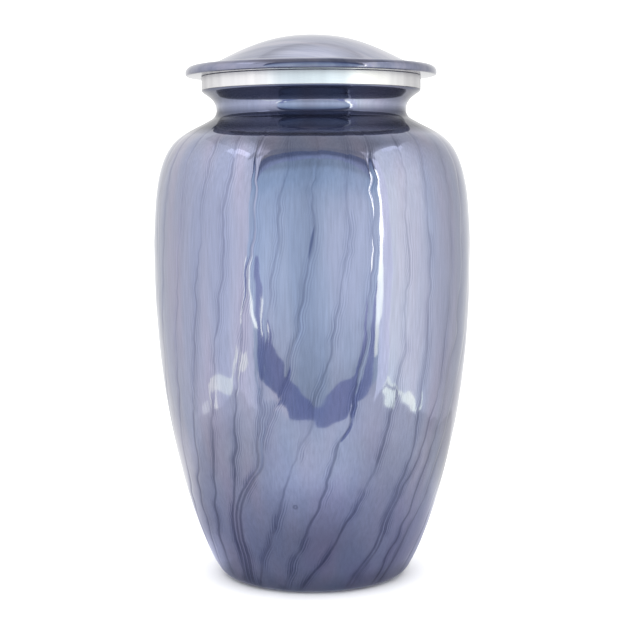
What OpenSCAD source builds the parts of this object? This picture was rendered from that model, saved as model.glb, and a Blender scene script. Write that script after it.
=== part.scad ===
// Funeral urn: an ovoid cast body, a bare metal rim ring seated in its mouth,
// and a domed lid whose plug drops into the ring.
// Millimetres, +Z up, origin at the centre of the underside.

/* [Body] */
// Height of the body from the table to its lip
body_h = 239.2; // [195:0.1:300]
// Diameter of the body at its widest
belly_d = 155.4; // [125:0.1:195]
// Height of the widest point above the table
belly_z = 157.6; // [125:0.1:180]
// Thickness of the body's wall
wall = 2.8; // [2:0.1:4]
// Diameter of the flat that the body stands on
foot_d = 80; // [60:0.5:96]
// Radius of the rounding between the foot and the side
foot_round = 9; // [6:0.5:12]
// Angle of the side above the foot, out from upright
foot_flare = 32; // [22:1:40]
// Fullness of the side just above the foot, as a share of its height
heel_fullness = 0.114; // [0.05:0.001:0.25]
// Fullness of the side below the widest point, as a share of its height
belly_fullness = 0.542; // [0.3:0.001:0.7]
// Fullness of the shoulder above the widest point, as a share of its height
shoulder_fullness = 0.886; // [0.5:0.001:0.95]
// Length of the straight slope into the neck, as a share of the shoulder's width
slope_fullness = 0.728; // [0.4:0.001:0.9]
// Depth of the hollow turned into the underside
foot_recess = 1.2; // [0.5:0.1:2]
// Width of the ring that the body stands on
foot_ring = 7; // [4:0.5:12]

/* [Neck] */
// Diameter of the neck at its narrowest
neck_d = 93; // [75:0.1:112]
// Height of the lip above the narrowest point of the neck
neck_drop = 9.6; // [8:0.1:14]
// Width of the flare from the neck out to the lip
lip_flare = 7.1; // [6:0.1:9]
// Radius of the hollow below the narrowest point
throat_round = 5; // [4:0.1:7]
// Slope of the shoulder where it meets the neck, from upright
shoulder_slope = 60; // [50:1:68]
// Radius of the hollow above the narrowest point
flare_round = 7.7; // [6:0.1:9]
// Slope of the flare below the lip, from upright
flare_slope = 49; // [40:1:52]

/* [Rim ring] */
// Height of the bare band that shows between body and lid
ring_h = 6.8; // [5:0.1:12]
// Depth that the ring reaches down into the neck
ring_spigot_h = 13; // [9:0.5:18]
// Thickness of the ring's wall inside the neck
ring_wall = 4.2; // [3:0.1:6]
// Gap all round between the ring and the neck
ring_clearance = 0.3; // [0.1:0.05:0.5]
// Width of the small bevels on the ring's edges
ring_bevel = 0.4; // [0.2:0.1:0.8]

/* [Lid] */
// Width of the lid's flange beyond the rim ring
lid_overhang = 7.8; // [5:0.1:10]
// Thickness of the flange at its edge
flange_t = 4.8; // [4:0.1:7]
// Radius of the rounding on the flange's upper edge
flange_round = 3.4; // [2:0.1:3.6]
// Radius of the rounding on the flange's lower edge
flange_under_round = 1.1; // [0.3:0.1:1.4]
// Width of the flange's shelf outside the dome
shelf_w = 10.8; // [7:0.1:13]
// Height of the dome above the flange
dome_h = 15.4; // [12:0.1:24]
// Slope of the dome where it meets the flange, from level
dome_slope = 27; // [20:1:34]
// Fullness of the dome's crown, as a share of its radius
crown_fullness = 0.42; // [0.3:0.01:0.55]
// Fullness of the dome's skirt, as a share of its radius
skirt_fullness = 0.34; // [0.2:0.01:0.45]
// Radius of the hollow where the dome runs into the flange
dome_fillet = 6; // [3:0.5:8]
// Thickness of the dome's wall
lid_wall = 2.8; // [2:0.1:4]
// Thickness of the plug's wall
plug_wall = 3; // [2:0.1:4]
// Depth of the plug below the flange
plug_h = 15; // [10:0.5:18]
// Width of the bevel that leads the plug into the ring
plug_bevel = 1; // [0.5:0.1:1.5]
// Gap all round between the plug and the rim ring
plug_clearance = 0.4; // [0.2:0.05:0.8]

/* [Hidden] */
$fn = 180;
side_steps = 30;    // straight pieces in each long curve of the body
round_steps = 8;    // straight pieces in each small rounding
flare_steps = 4;    // straight pieces between the neck's hollow and the lip
dome_steps = 20;    // straight pieces in the dome
past = 1;           // how far a cut runs on past an open face

enamel = "#8f97b8";
bare_metal = "#dcdce0";

belly_r = belly_d / 2;
foot_r = foot_d / 2;
neck_r = neck_d / 2;
neck_z = body_h - neck_drop;
lip_r = neck_r + lip_flare;
neck_inner_r = neck_r - wall;
floor_z = foot_recess + wall;
ring_outer_r = neck_inner_r - ring_clearance;
ring_bore_r = ring_outer_r - ring_wall;
ring_top = body_h + ring_h;
plug_r = ring_bore_r - plug_clearance;
plug_inner_r = plug_r - plug_wall;
plug_foot = ring_top - plug_h;
flange_r = lip_r + lid_overhang;
flange_top = ring_top + flange_t;
dome_r = flange_r - shelf_w;
dome_top = flange_top + dome_h;

// Point at share t of a cubic curve with end points a, d and handles b, c.
function cubic(a, b, c, d, t) =
    pow(1 - t, 3) * a + 3 * pow(1 - t, 2) * t * b + 3 * (1 - t) * t * t * c + pow(t, 3) * d;

// The whole curve in equal steps, leaving out its first point.
function curve(a, b, c, d, steps) = [for (i = [1:steps]) cubic(a, b, c, d, i / steps)];

// Points on a circle round c from angle from to angle to.
function round_points(c, r, from, to, steps = round_steps) =
    [for (i = [0:steps]) let (q = from + (to - from) * i / steps) c + r * [cos(q), sin(q)]];

// Unit vector at an angle from upright, leaning outwards.
function leaning(angle) = [sin(angle), cos(angle)];

// Left-hand normal of an open line at point i, which is inwards on an outline drawn upwards.
function inward(p, i) =
    let (
        before = p[max(i - 1, 0)],
        after = p[min(i + 1, len(p) - 1)],
        along = (after - before) / norm(after - before)
    )
    [-along[1], along[0]];

// The line moved inwards by a wall's thickness.
function inset(p, by) = [for (i = [0:len(p) - 1]) p[i] + by * inward(p, i)];

// Side of the body from the foot's edge up to the widest point.
function lower_side() =
    let (
        heel = round_points([foot_r, foot_round], foot_round, -90, -foot_flare),
        start = heel[round_steps],
        widest = [belly_r, belly_z],
        span = belly_z - start[1]
    )
    concat(heel, curve(
        start,
        start + heel_fullness * span * leaning(foot_flare),
        widest - [0, belly_fullness * span],
        widest,
        side_steps));

// Side of the body from above the widest point to the narrowest point of the neck.
function upper_side() =
    let (
        throat = round_points([neck_r + throat_round, neck_z], throat_round, 180 + shoulder_slope, 180),
        widest = [belly_r, belly_z],
        end = throat[0],
        span = end[1] - belly_z,
        step_in = belly_r - end[0]
    )
    concat(
        curve(
            widest,
            widest + [0, shoulder_fullness * span],
            end + slope_fullness * step_in * [sin(shoulder_slope), -cos(shoulder_slope)],
            end,
            side_steps),
        [for (i = [1:round_steps]) throat[i]]);

// The flare from the neck up to the lip, which it meets upright.
function flare() =
    let (
        hollow = round_points([neck_r + flare_round, neck_z], flare_round, 180, 180 - flare_slope),
        start = hollow[round_steps],
        lip = [lip_r, body_h],
        span = lip - start
    )
    concat(
        [for (i = [1:round_steps]) hollow[i]],
        curve(
            start,
            start + span[0] / 2 * [1, 1 / tan(flare_slope)],
            lip - [0, span[1] / 4],
            lip,
            flare_steps));

// Inside of the body: a flat floor, the side less its wall, then straight up through the neck.
function body_cavity() =
    let (
        heel_inner = foot_round - wall,
        floor_r = foot_r + sqrt(pow(heel_inner, 2) - pow(foot_round - floor_z, 2)),
        side = inset(concat(lower_side(), upper_side()), wall)
    )
    concat(
        [[0, floor_z], [floor_r, floor_z]],
        [for (p = side) if (p[1] > floor_z && p[1] < neck_z) p],
        [[neck_inner_r, neck_z], [neck_inner_r, body_h + past], [0, body_h + past]]);

// One casting: outer side, true wall, floor and a hollow turned under the foot.
module body() {
    color(enamel)
    difference() {
        rotate_extrude()
            polygon(concat([[0, 0]], lower_side(), upper_side(), flare(), [[0, body_h]]));
        rotate_extrude()
            polygon(body_cavity());
        translate([0, 0, -past])
            cylinder(h = foot_recess + past, r = foot_r - foot_ring);
    }
}

// Turned ring: a band on the lip, and a spigot that locates it in the neck.
module rim_ring() {
    color(bare_metal)
    rotate_extrude()
        polygon([
            [ring_bore_r, body_h - ring_spigot_h],
            [ring_outer_r - ring_bevel, body_h - ring_spigot_h],
            [ring_outer_r, body_h - ring_spigot_h + ring_bevel],
            [ring_outer_r, body_h],
            [lip_r - ring_bevel, body_h],
            [lip_r, body_h + ring_bevel],
            [lip_r, ring_top],
            [ring_bore_r, ring_top],
        ]);
}

// Outside of the dome from its crown down to the flange's flat shelf.
function dome_side() =
    let (
        toe = [dome_r, flange_top],
        lean = [-cos(dome_slope), sin(dome_slope)],
        setback = dome_fillet * tan(dome_slope / 2),
        start = toe + setback * lean,
        crown = [0, dome_top]
    )
    concat(
        [crown],
        curve(
            crown,
            [crown_fullness * dome_r, dome_top],
            start + skirt_fullness * dome_r * lean,
            start,
            dome_steps),
        round_points([dome_r + setback, flange_top + dome_fillet], dome_fillet, 270 - dome_slope, 270));

// Height of a falling line of points p at radius r, on the straight piece that crosses it.
function height_at(p, r) =
    let (i = min([for (k = [1:len(p) - 1]) if (p[k][0] <= r) k]))
    lookup(r, [p[i], p[i - 1]]);

// Inside of the lid: up the plug, then along the dome less its wall.
function lid_cavity() =
    let (
        dome = dome_side(),
        inner = inset([for (i = [len(dome) - 1:-1:0]) dome[i]], lid_wall)
    )
    concat(
        [
            [0, plug_foot - past],
            [plug_inner_r, plug_foot - past],
            [plug_inner_r, height_at(inner, plug_inner_r)],
        ],
        [for (p = inner) if (p[0] < plug_inner_r && p[0] > 0) p],
        [[0, dome_top - lid_wall]]);

// One casting: dome, rounded flange, and the plug below it.
module lid() {
    color(enamel)
    difference() {
        rotate_extrude()
            polygon(concat(
                dome_side(),
                round_points([flange_r - flange_round, flange_top - flange_round], flange_round, 90, 0),
                round_points([flange_r - flange_under_round, ring_top + flange_under_round],
                    flange_under_round, 0, -90),
                [
                    [plug_r, ring_top],
                    [plug_r, plug_foot + plug_bevel],
                    [plug_r - plug_bevel, plug_foot],
                    [0, plug_foot],
                ]));
        rotate_extrude()
            polygon(lid_cavity());
    }
}

body();
rim_ring();
lid();
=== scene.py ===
"""Funeral urn: a cast body and lid in pearl enamel, with a bare aluminium band between them."""

import logging
import math
from collections.abc import Callable
from dataclasses import dataclass
from enum import Enum
from functools import partial
from typing import ClassVar

import bpy
import numpy as np
from mathutils import Euler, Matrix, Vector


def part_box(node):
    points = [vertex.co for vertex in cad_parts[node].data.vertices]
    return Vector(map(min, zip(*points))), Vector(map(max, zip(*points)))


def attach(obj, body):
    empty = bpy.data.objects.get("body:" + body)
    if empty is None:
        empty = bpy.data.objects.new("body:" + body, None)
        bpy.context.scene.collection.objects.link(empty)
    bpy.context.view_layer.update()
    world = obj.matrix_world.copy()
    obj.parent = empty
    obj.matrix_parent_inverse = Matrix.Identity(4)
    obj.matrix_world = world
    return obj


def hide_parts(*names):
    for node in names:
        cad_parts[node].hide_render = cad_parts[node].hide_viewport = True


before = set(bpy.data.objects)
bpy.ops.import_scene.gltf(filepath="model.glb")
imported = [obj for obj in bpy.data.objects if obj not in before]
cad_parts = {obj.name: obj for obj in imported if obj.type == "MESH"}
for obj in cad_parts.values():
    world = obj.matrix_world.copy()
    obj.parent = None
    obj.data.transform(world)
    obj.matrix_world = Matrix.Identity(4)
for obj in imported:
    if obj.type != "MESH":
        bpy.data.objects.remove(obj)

log = logging.getLogger("urn")

Array = np.ndarray
Socket = bpy.types.NodeSocket
Put = Callable[..., Socket]
Light = float | tuple[float, float, float] | Callable[[Array], Array]
Edge = float | Callable[[Array], Array]

MM = 0.001
TURN = 2 * math.pi
ROOT = "root"


class Node(Enum):
    """The urn's solids, by their names in the frame."""

    BODY = "body"
    RING = "rim_ring"
    LID = "lid"

    @property
    def foot(self) -> float:
        """Height of the solid's lowest point."""
        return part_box(self.value)[0][2]

    @property
    def top(self) -> float:
        """Height of the solid's highest point."""
        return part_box(self.value)[1][2]

    @property
    def radius(self) -> float:
        """Largest distance of the solid from the axis."""
        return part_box(self.value)[1][0]


class Slot(Enum):
    """The record's material slots."""

    ENAMEL = "blue_enamel"
    METAL = "bare_aluminium"


class Coat(Enum):
    """How the enamel was laid on, with the name of the material that it gives."""

    RUN_DOWN = "pearl_enamel_veined"  # tall bands of slate and lavender between dark wavy veins
    SWEPT = "pearl_enamel_swept"  # long pale streaks drawn across the lid


class Side(Enum):
    """Sides of the tent's opening, with the sign of x there."""

    LEFT = -1
    RIGHT = 1


class Wall(Enum):
    """Planes of the tent that carry patches of light."""

    LEFT = "left wall"
    RIGHT = "right wall"
    FRONT = "front flaps"
    EDGE = "upright plane on the table's front edge"
    TABLE = "table top"


# ---------------------------------------------------------------- colour and nodes


def linear(code: str) -> tuple[float, float, float, float]:
    """Turn an sRGB hex colour into the linear values that shaders take.

    Args:
        code: colour written as "#rrggbb".

    Returns:
        Red, green, blue and an alpha of 1.
    """
    srgb = np.array([int(code[i:i + 2], 16) for i in (1, 3, 5)]) / 255
    rgb = np.where(srgb <= 0.04045, srgb / 12.92, ((srgb + 0.055) / 1.055) ** 2.4)
    return (*map(float, rgb), 1.0)


def add(tree: bpy.types.NodeTree, kind: str, *inputs, named: dict | None = None, out: int | str = 0,
        **settings) -> Socket | None:
    """Add one node with its settings, its constants and its links.

    Args:
        tree: node tree that gets the node.
        kind: node type without the "ShaderNode" in front.
        inputs: constants or other nodes' outputs for the first sockets, in order.
        named: the same for sockets by name or number.
        out: which of the node's outputs to give back.
        settings: properties of the node itself.

    Returns:
        One output of the new node.
    """
    node = tree.nodes.new("ShaderNode" + kind)
    for name, value in settings.items():
        setattr(node, name, value)
    for key, value in (dict(enumerate(inputs)) | (named or {})).items():
        if isinstance(value, Socket):
            tree.links.new(value, node.inputs[key])
        else:
            node.inputs[key].default_value = value
    return node.outputs[out] if node.outputs else None


def new_material(name: str) -> tuple[bpy.types.Material, Put]:
    """Make a material with an empty node tree.

    Args:
        name: the material's name.

    Returns:
        The material, and add() with its tree filled in.
    """
    material = bpy.data.materials.new(name)
    material.use_nodes = True
    material.node_tree.nodes.clear()
    return material, partial(add, material.node_tree)


def clouds(put: Put, place: Socket, size: tuple[float, float, float], detail: float = 1.0) -> Socket:
    """Soft noise about 0.5, with lumps of a size in metres and so many octaves of finer ones."""
    sized = put("Mapping", place, named={"Scale": size}, vector_type="TEXTURE")
    return put("TexNoise", named={"Vector": sized, "Scale": 1.0, "Detail": detail})


# ---------------------------------------------------------------- profiles and grids


def arc(centre: tuple[float, float], radius: float, start: float, end: float, count: int) -> Array:
    """Points on a circle: centre plus radius times cosine and sine of even steps of angle, in degrees."""
    angle = np.radians(np.linspace(start, end, count))
    return np.array(centre) + radius * np.stack([np.cos(angle), np.sin(angle)], axis=1)


def cubic(a: Array, b: Array, c: Array, d: Array, count: int) -> Array:
    """Points on a cubic curve from a to d: its four handles weighted by the cubic Bernstein terms."""
    t = np.linspace(0, 1, count)[:, None]
    return (1 - t) ** 3 * a + 3 * (1 - t) ** 2 * t * b + 3 * (1 - t) * t ** 2 * c + t ** 3 * d


def way_along(line: Array) -> Array:
    """Way along a line of points from its first one: the sum of the steps up to each."""
    return np.concatenate([[0], np.cumsum(np.linalg.norm(np.diff(line, axis=0), axis=1))])


def evenly(line: Array, count: int) -> Array:
    """Resample a line, n by 2, to count points at equal steps of its own length."""
    run = way_along(line)
    return np.stack([np.interp(np.linspace(0, run[-1], count), run, part) for part in line.T], axis=1)


def joined(*pieces: Array) -> Array:
    """Put lines end to end, dropping each later line's first point where it repeats the last.

    Args:
        pieces: lines, each n by 2.

    Returns:
        One line.
    """
    line = pieces[0]
    for piece in pieces[1:]:
        repeats = np.allclose(piece[0], line[-1], atol=1e-9)
        line = np.concatenate([line, piece[1:] if repeats else piece])
    return line


def outward(line: Array) -> Array:
    """Unit normals of a profile drawn with the metal on its left: its tangent turned right."""
    along = np.gradient(line, axis=0)
    return np.stack([along[:, 1], -along[:, 0]], axis=1) / np.linalg.norm(along, axis=1, keepdims=True)


def smooth(low: float, high: float, x: Array) -> Array:
    """Smooth step from 0 where x is low to 1 where it is high: 3 t squared minus 2 t cubed."""
    t = np.clip((x - low) / (high - low), 0, 1)
    return t * t * (3 - 2 * t)


def around_axis(count: int) -> Array:
    """Azimuths of count columns, evenly round the axis."""
    return np.linspace(0, TURN, count, endpoint=False)


def turned(line: Array, azimuth: Array) -> Array:
    """Turn a profile about the axis: x is r sin a, y is minus r cos a, z is the height.

    Args:
        line: distance from the axis and height, rings by 2, or rings by columns by 2.
        azimuth: angle from the front, to the right, in radians: columns, or rings by columns.

    Returns:
        Rings by columns by 3.
    """
    if line.ndim == 2:
        line = line[:, None, :]
    azimuth = np.broadcast_to(azimuth, (line.shape[0], azimuth.shape[-1]))
    r, z = line[..., 0], line[..., 1]
    return np.stack([r * np.sin(azimuth), -r * np.cos(azimuth), z + 0 * azimuth], axis=-1)


def quads(rings: int, columns: int, ring_after: Array) -> Array:
    """Quads of a turned grid: ring i, column j joins the ring after it and the column after it.

    Args:
        rings: number of rings that start a row of quads.
        columns: number of columns, which close on themselves.
        ring_after: number of the ring that each of them is joined to.

    Returns:
        Four point numbers for each quad.
    """
    i, j = np.meshgrid(np.arange(rings), np.arange(columns), indexing="ij")
    k, n = (j + 1) % columns, ring_after[i]
    return (np.stack([i, i, n, n], axis=-1) * columns + np.stack([j, k, k, j], axis=-1)).reshape(-1, 4)


def new_object(name: str, points: Array, faces: list[list[int]]) -> bpy.types.Object:
    """Make a mesh object at the origin.

    Args:
        name: name of the object and of its mesh.
        points: n by 3, in metres.
        faces: point numbers of each face.

    Returns:
        The object.
    """
    mesh = bpy.data.meshes.new(name)
    mesh.from_pydata(points, [], faces)
    made = bpy.data.objects.new(name, mesh)
    bpy.context.scene.collection.objects.link(made)
    return made


def closed_shell(name: str, grid: Array, maps: dict[str, tuple[Array, Array]]) -> bpy.types.Object:
    """Make a closed shell from rings of points that start and end on the axis.

    The rings are joined with quads, and the first and the last are closed with a fan to one pole.

    Args:
        name: name of the object and its mesh.
        grid: rings by columns by 3, in metres, without the two poles.
        maps: texture maps, each as values at a quad's left side and at its right side,
            rings by columns by 2, so that a map may jump from one column to the next.

    Returns:
        The object, at the origin.
    """
    rings, columns, _ = grid.shape
    poles = np.array([[0, 0, grid[0, :, 2].mean()], [0, 0, grid[-1, :, 2].mean()]])
    column = np.arange(columns)
    after = (column + 1) % columns
    last, pole = (rings - 1) * columns, rings * columns
    first_fan = np.stack([after, column, np.full(columns, pole)], axis=1)
    last_fan = np.stack([last + column, last + after, np.full(columns, pole + 1)], axis=1)
    side = quads(rings - 1, columns, np.arange(1, rings))
    faces = side.tolist() + first_fan.tolist() + last_fan.tolist()
    shell = new_object(name, np.concatenate([grid.reshape(-1, 3), poles]), faces)
    for label, (left, right) in maps.items():
        corners = np.stack([left[:-1], right[:-1], right[1:], left[1:]], axis=2).reshape(-1, 2)
        fans = [np.stack([b, a, (a + b) / 2], axis=1).reshape(-1, 2)
                for a, b in ((left[0], right[0]), (right[-1], left[-1]))]
        layer = shell.data.uv_layers.new(name=label)
        layer.data.foreach_set("uv", np.concatenate([corners, *fans]).astype(np.float32).ravel())
    return shell


# ---------------------------------------------------------------- finishes

HALF_COVER = (0.35, 0.65)  # noise values between which clouds that cover half the surface fade in


@dataclass(frozen=True)
class Spot:
    """What the veined finish knows of a point on the body, as sockets of its node tree.

    Distances to the two veins beside the point are in millimetres. flow is the place across
    the strip and down it, drawn out downwards. low is 1 at the foot and 0 from the middle up,
    and below_neck is 1 on the body and 0 on the neck.
    """

    put: Put
    place: Socket
    left: Socket
    right: Socket
    number: Socket
    flow: Socket
    low: Socket
    below_neck: Socket


@dataclass(frozen=True)
class PearlEnamel:
    """Pearl enamel under clear lacquer, sprayed and left to run on bright cast aluminium.

    Metal flake in the tinted coat mirrors the room in slate blue, the lacquer over it gives hard
    white highlights, and the coat parts in darker veins where it ran.
    """

    # Tints of the coat where it is even, from its coldest to its warmest.
    slate: str = "#757b93"
    lavender: str = "#7a7e94"
    mauve: str = "#7f7f94"
    plum: str = "#77688c"
    # Tint of the painted shade beside a vein, which the hairs and the drop share; tint of the vein itself;
    # and the painted shade under the neck, the lip and the lid's edge, on colour and gloss.
    marks_and_vein_shade: str = "#444b6b"
    ink: str = "#2b3150"
    painted_shade_tint: str = "#a0a3ae"
    painted_shade_gloss: str = "#c0c0c0"
    # The same coat where it was swept over the lid, from its troughs to its ridges.
    trough: str = "#6a6f88"
    sweep: str = "#82859a"
    ridge: str = "#9392a4"

    metallic: float = 0.9
    roughness: float = 0.07
    lacquer: float = 0.35
    lacquer_roughness: float = 0.02
    lacquer_ior: float = 1.5

    # Widths of the patterns. The finest real streaks are about 0.3 mm wide and the real hairs
    # 0.5 mm apart; both are drawn two to three times as coarse, so that they show.
    grain: tuple[float, float, float] = (0.9 * MM, 0.9 * MM, 16 * MM)
    band: tuple[float, float, float] = (14 * MM, 14 * MM, 98 * MM)
    plum_lump: tuple[float, float, float] = (17 * MM, 17 * MM, 45 * MM)
    swept_band: tuple[float, float, float] = (95 * MM, 9 * MM, 20 * MM)
    sweep_angle: float = -20.0
    hair: float = 0.6
    hair_gap: float = 1.15
    # Reach of the painted shade on each side of a vein.
    vein_shade_left: float = 2.4
    vein_shade_right: float = 4.2

    # Heights between which the patterns change, and the heights and strengths of the painted shade under the
    # neck, under the lip and on the lid's edge.
    foot_z: float = 30 * MM
    middle_z: float = 150 * MM
    neck_z: tuple[float, float] = (222 * MM, 212 * MM)
    slope_z: tuple[float, float] = (217.2 * MM, 220.7 * MM)
    slope_end_z: tuple[float, float] = (231 * MM, 228 * MM)
    lip_z: tuple[float, float] = (232 * MM, 235 * MM)
    lip_end_z: tuple[float, float] = (247 * MM, 245 * MM)
    lid_edge_z: tuple[float, float] = (251.4 * MM, 249.4 * MM)
    lip_shade: float = 0.65
    lid_edge_shade: float = 0.62

    # One drop that ran down the front, and one small pit in it lower down.
    drop_z: tuple[float, float] = (177 * MM, 159 * MM)
    drop_lean: float = 3.2 * MM
    drop_width: float = 0.8 * MM
    pit_at: tuple[float, float, float] = (-8.4 * MM, -63.2 * MM, 46 * MM)
    pit_r: float = 1.0 * MM

    def material(self, coat: Coat) -> bpy.types.Material:
        """The enamel, laid on as asked.

        Args:
            coat: how it was laid on.

        Returns:
            The material.
        """
        material, put = new_material(coat.value)
        place = put("TexCoord", out="Object")
        colour, normal = self.run_down(put, place) if coat is Coat.RUN_DOWN else self.swept(put, place)
        # Painted shade under the neck and the lip: it darkens the gloss's tint there.
        neck_shade = self.neck_and_lip_shade(put, place)
        edge = put("Mix", named={0: neck_shade, 6: (1, 1, 1, 1), 7: linear(self.painted_shade_gloss)}, out=2,
                   data_type="RGBA")
        put("OutputMaterial", put("BsdfPrincipled", named={
            "Base Color": colour, "Metallic": self.metallic, "Roughness": self.roughness,
            "Specular Tint": edge, "Coat Weight": self.lacquer, "Coat Roughness": self.lacquer_roughness,
            "Coat IOR": self.lacquer_ior, "Normal": normal}))
        return material

    def run_down(self, put: Put, place: Socket) -> tuple[Socket, Socket]:
        """The body's coat: it ran down, and what the eye gets is tall bands between dark wavy veins.

        Args:
            put: adds a node to the tree.
            place: object coordinates.

        Returns:
            Colour and normal.
        """
        spot = self.spot(put, place)
        streaks = put("TexNoise", named={"Vector": spot.flow, "Scale": 1 / self.hair, "Detail": 3.0})
        grain = clouds(put, place, self.grain, 3.0)
        colour = self.tint(spot, grain)
        # Painted shade beside the veins, with the hairs and the drop, in one darker tint.
        dark = put("Math", self.margins(spot, streaks), self.hairs(spot), operation="MAXIMUM")
        dark = put("Math", dark, spot.below_neck, operation="MULTIPLY")
        dark = put("Math", dark, self.drop(put, place), operation="MAXIMUM")
        colour = put("Mix", named={0: dark, 6: colour, 7: linear(self.marks_and_vein_shade)}, out=2, data_type="RGBA")
        strength = put("MapRange", spot.low, 0.0, 1.0, 0.3, 0.62)
        ink = put("Math", self.lines(spot), strength, operation="MULTIPLY")
        ink = put("Math", ink, spot.below_neck, operation="MULTIPLY")
        ink = put("Math", ink, self.pit(put, place), operation="MAXIMUM")
        colour = put("Mix", named={0: ink, 6: colour, 7: linear(self.ink)}, out=2, data_type="RGBA")
        sunk = put("Math", ink, -1.0, operation="MULTIPLY")
        relief = put("Math", grain, 0.3, sunk, operation="MULTIPLY_ADD")
        return colour, put("Bump", named={"Strength": 0.35, "Distance": 0.06 * MM, "Height": relief})

    def spot(self, put: Put, place: Socket) -> Spot:
        """Read the body's texture maps and heights.

        Args:
            put: adds a node to the tree.
            place: object coordinates.

        Returns:
            What the finish knows of a point.
        """
        strip = put("UVMap", uv_map="strip")
        span = put("UVMap", uv_map="span")
        left = put("SeparateXYZ", strip, out="X")
        right = put("Math", put("SeparateXYZ", span, out="X"), left, operation="SUBTRACT")
        number = put("SeparateXYZ", span, out="Y")
        down = put("Math", put("SeparateXYZ", strip, out="Y"), 0.05, operation="MULTIPLY")
        flow = put("CombineXYZ", left, down, put("Math", number, 5.3, operation="MULTIPLY"))
        height = put("SeparateXYZ", place, out="Z")
        low = put("MapRange", height, self.middle_z, self.foot_z)
        return Spot(put, place, left, right, number, flow, low, put("MapRange", height, *self.neck_z))

    def lines(self, spot: Spot) -> Socket:
        """Main veins: a soft dark line on each edge of a strip, wider towards the foot.

        Args:
            spot: what is known of the point.

        Returns:
            1 on a vein, 0 off it.
        """
        put = spot.put
        swell = put("MapRange", clouds(put, spot.place, (9 * MM, 9 * MM, 20 * MM)), 0.3, 0.7, 0.25, 0.75)
        edge = put("Math", spot.low, 0.7, swell, operation="MULTIPLY_ADD")
        core = put("Math", edge, 0.12, operation="MULTIPLY")
        rim = put("Math", edge, 0.8, 0.3, operation="MULTIPLY_ADD")
        line = put("Math", *(put("MapRange", side, core, rim, 1.0, 0.0, interpolation_type="SMOOTHSTEP")
                             for side in (spot.left, spot.right)), operation="MAXIMUM")
        faint = put("MapRange", clouds(put, spot.place, (28 * MM, 28 * MM, 40 * MM)), 0.35, 0.6, 0.3, 1.0)
        return put("Math", line, faint, operation="MULTIPLY")

    def hairs(self, spot: Spot) -> Socket:
        """Fine dark hairs, side by side, that keep beside a vein for a while and then die out.

        Args:
            spot: what is known of the point.

        Returns:
            1 on a hair, 0 off it.
        """
        put = spot.put
        near = put("Math", put("MapRange", spot.left, 2.0, 4.5, 1.0, 0.0),
                   put("MapRange", spot.right, 1.5, 3.5, 1.0, 0.0), operation="MAXIMUM")
        # A wave texture of scale 0.314 has its bands one unit apart.
        waves = put("TexWave", named={"Vector": spot.flow, "Scale": 0.314 / self.hair_gap,
                                      "Distortion": 2.5, "Detail": 2.0, "Detail Scale": 1.5},
                    out="Fac", bands_direction="X")
        fine = put("MapRange", waves, 0.55, 0.95)
        there = put("MapRange", clouds(put, spot.place, (12 * MM, 12 * MM, 26 * MM)), 0.42, 0.52)
        strength = put("MapRange", spot.low, 0.0, 1.0, 0.35, 0.95)
        there = put("Math", there, strength, operation="MULTIPLY")
        return put("Math", put("Math", near, fine, operation="MULTIPLY"), there, operation="MULTIPLY")

    def margins(self, spot: Spot, streaks: Socket) -> Socket:
        """Painted shade beside each vein: a soft darker margin, wider on one side.

        Args:
            spot: what is known of the point.
            streaks: noise of the fine streaks, which fray the margin.

        Returns:
            0 to 1.
        """
        put = spot.put
        sides = [put("MapRange", distance, 0.0, reach, strength, 0.0, interpolation_type="SMOOTHSTEP")
                 for distance, reach, strength in ((spot.left, self.vein_shade_left, 0.35),
                                                   (spot.right, self.vein_shade_right, 0.5))]
        vein_shade = put("Math", *sides, operation="MAXIMUM")
        patchy = put("MapRange", clouds(put, spot.place, (12 * MM, 12 * MM, 30 * MM)), *HALF_COVER)
        frayed = put("MapRange", streaks, *HALF_COVER, 0.4, 1.5)
        strength = put("MapRange", spot.low, 0.0, 1.0, 0.3, 0.8)
        for factor in (patchy, frayed, strength):
            vein_shade = put("Math", vein_shade, factor, operation="MULTIPLY")
        return vein_shade

    def drop(self, put: Put, place: Socket) -> Socket:
        """One drop of the coat that ran down the front: a slim leaning wedge, pointed at both ends.

        Half its width at a share t of the way down is four t times one minus t times the widest.

        Args:
            put: adds a node to the tree.
            place: object coordinates.

        Returns:
            1 on the drop, 0 off it.
        """
        share = put("MapRange", put("SeparateXYZ", place, out="Z"), *self.drop_z)
        middle = put("Math", share, -self.drop_lean, 0.4 * self.drop_lean, operation="MULTIPLY_ADD")
        off = put("Math", put("SeparateXYZ", place, out="X"), middle, operation="SUBTRACT")
        off = put("Math", off, operation="ABSOLUTE")
        rest = put("Math", 1.0, share, operation="SUBTRACT")
        half = put("Math", share, rest, operation="MULTIPLY")
        half = put("Math", half, 4 * self.drop_width, operation="MULTIPLY")
        inside = put("MapRange", put("Math", half, off, operation="SUBTRACT"), -0.2 * MM, 0.5 * MM)
        ends = put("MapRange", half, 0.0, 0.4 * MM)
        in_front = put("MapRange", put("SeparateXYZ", place, out="Y"), 0.0, -10 * MM)
        drop = put("Math", inside, ends, operation="MULTIPLY")
        return put("Math", drop, in_front, operation="MULTIPLY")

    def pit(self, put: Put, place: Socket) -> Socket:
        """One small pit low in the front: a dark ring round a paler middle.

        Args:
            put: adds a node to the tree.
            place: object coordinates.

        Returns:
            Up to a half on the ring, 0 off it.
        """
        distance = put("VectorMath", place, self.pit_at, out="Value", operation="DISTANCE")
        outer = put("MapRange", distance, 0.8 * self.pit_r, 1.5 * self.pit_r, 0.5, 0.0)
        inner = put("MapRange", distance, 0.2 * self.pit_r, 0.8 * self.pit_r, 0.3, 1.0)
        return put("Math", outer, inner, operation="MULTIPLY")

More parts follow.
